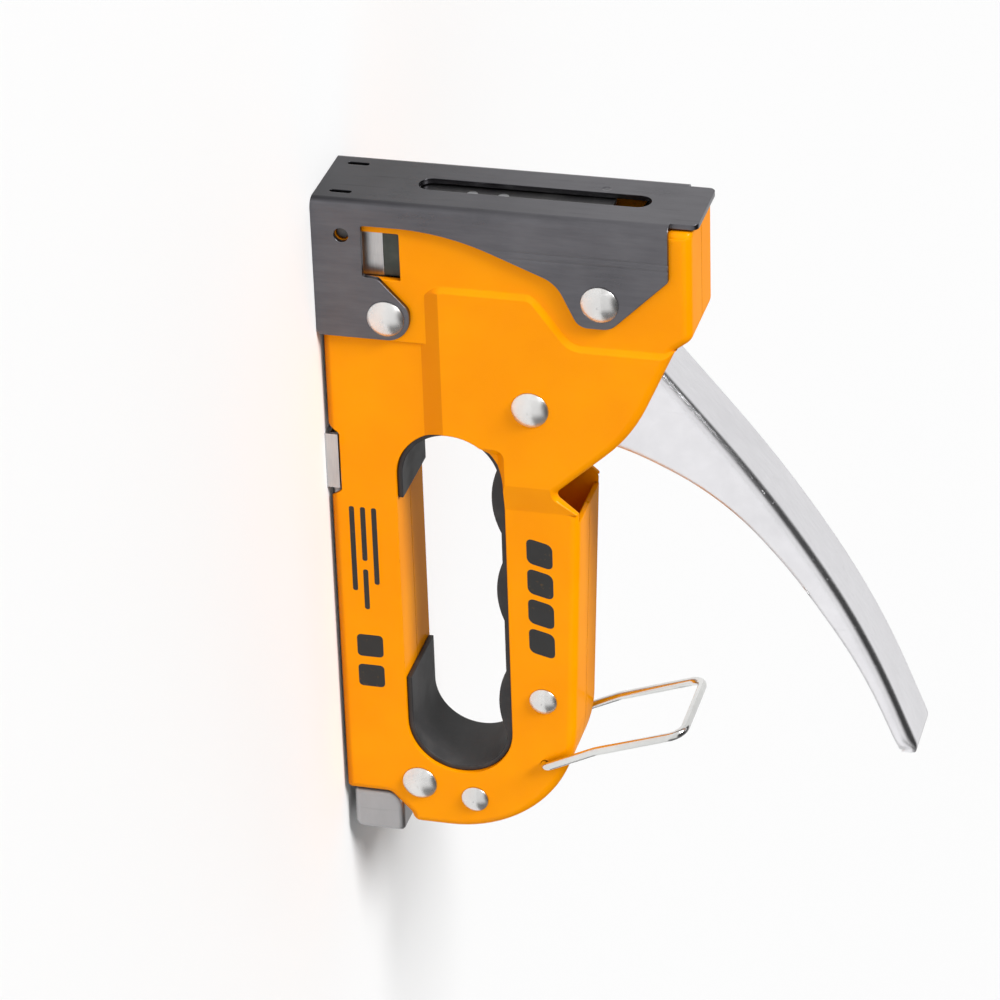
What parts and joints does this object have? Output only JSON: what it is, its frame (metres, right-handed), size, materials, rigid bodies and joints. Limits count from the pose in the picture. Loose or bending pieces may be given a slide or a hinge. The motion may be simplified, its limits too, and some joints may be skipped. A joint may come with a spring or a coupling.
{
  "type": "staple gun",
  "caption": "Hand staple gun for thin wire staples: two riveted pressed shells, wrapped steel nose, curved squeeze lever, lined finger hole, wire lock bail and pull-out magazine rail.",
  "frame": {"origin": "middle of the nose plate's foot, on the work face the tool is pressed against", "axes": "+X from the nose plate to the heel and magazine knob, +Z away from the work face towards the lever, +Y across, to the right of a user who holds the grip and looks towards the nose; left_shell is the -Y side"},
  "size_m": [0.165, 0.0284, 0.1347],
  "materials": {
    "paint": "gloss orange-yellow powder coat",
    "cover_steel": "black nickel, satin",
    "bright_steel": "zinc plated sheet",
    "dark_steel": "oiled black steel",
    "bumper_rubber": "matt",
    "liner_rubber": "matt moulded",
    "rivet_nickel": "bright nickel",
    "spring_steel": "drawn wire",
    "staple_wire": "galvanised wire",
    "lever_chrome": "polished chrome",
    "brass": "turned",
    "knob_steel": "matt zinc",
    "wire_steel": "polished wire"
  },
  "bodies": {
    "root": {"left_shell": "paint", "right_shell": "paint", "nose_cover": "cover_steel", "nose_guide": "bright_steel", "guide_pins": "dark_steel", "bumper": "bumper_rubber", "grip_liner": "liner_rubber", "cover_front_rivet": "rivet_nickel", "cover_rear_rivet": "rivet_nickel", "lever_pivot_rivet": "rivet_nickel", "grip_rivet": "rivet_nickel", "rear_large_rivet": "rivet_nickel", "rear_small_rivet": "rivet_nickel", "cover_front_spacer": "bright_steel", "cover_rear_spacer": "bright_steel", "grip_spacer": "bright_steel", "rear_large_spacer": "bright_steel", "rear_small_spacer": "bright_steel", "return_spring": "spring_steel", "main_spring": "spring_steel", "spring_seat": "bright_steel", "magazine_channel": "bright_steel", "staple_strip": "staple_wire"},
    "hammer": {"hammer_carrier": "dark_steel", "driver_blade": "dark_steel", "blade_rivets": "bright_steel"},
    "lever": {"squeeze_lever": "lever_chrome", "lever_bush": "brass", "lift_pin": "dark_steel"},
    "magazine_slide": {"magazine_knob": "knob_steel", "feed_rail": "bright_steel", "rear_block": "dark_steel", "spring_rod": "bright_steel", "pusher_spring": "spring_steel"},
    "pusher": {"pusher": "dark_steel"},
    "bail": {"lock_bail": "wire_steel"}
  },
  "joints": [
    {"name": "lever_pivot", "type": "hinge", "parent": "root", "child": "lever", "pos_m": [0.0472, 0, 0.0482], "axis": [0, 1, 0], "range_deg": [0, 26.5], "stiffness_Nm_per_rad": 1, "springref_deg": -17.19, "deforming": ["return_spring"]},
    {"name": "hammer_lift", "type": "slide", "parent": "root", "child": "hammer", "axis": [0, 0, 1], "range_m": [0, 0.0119], "deforming": ["main_spring"]},
    {"name": "magazine_pull", "type": "slide", "parent": "root", "child": "magazine_slide", "axis": [1, 0, 0], "range_m": [0, 0.12]},
    {"name": "pusher_travel", "type": "slide", "parent": "magazine_slide", "child": "pusher", "axis": [1, 0, 0], "range_m": [0, 0.055], "stiffness_N_per_m": 20, "springref_m": -0.1, "deforming": ["pusher_spring"]},
    {"name": "bail_swing", "type": "hinge", "parent": "root", "child": "bail", "pos_m": [0.1404, 0, 0.0489], "axis": [0, 1, 0], "range_deg": [-48, 152]}
  ],
  "couplings": [
    {"joint": "hammer_lift", "follows": "lever_pivot", "m_per_rad": 0.025469}
  ]
}
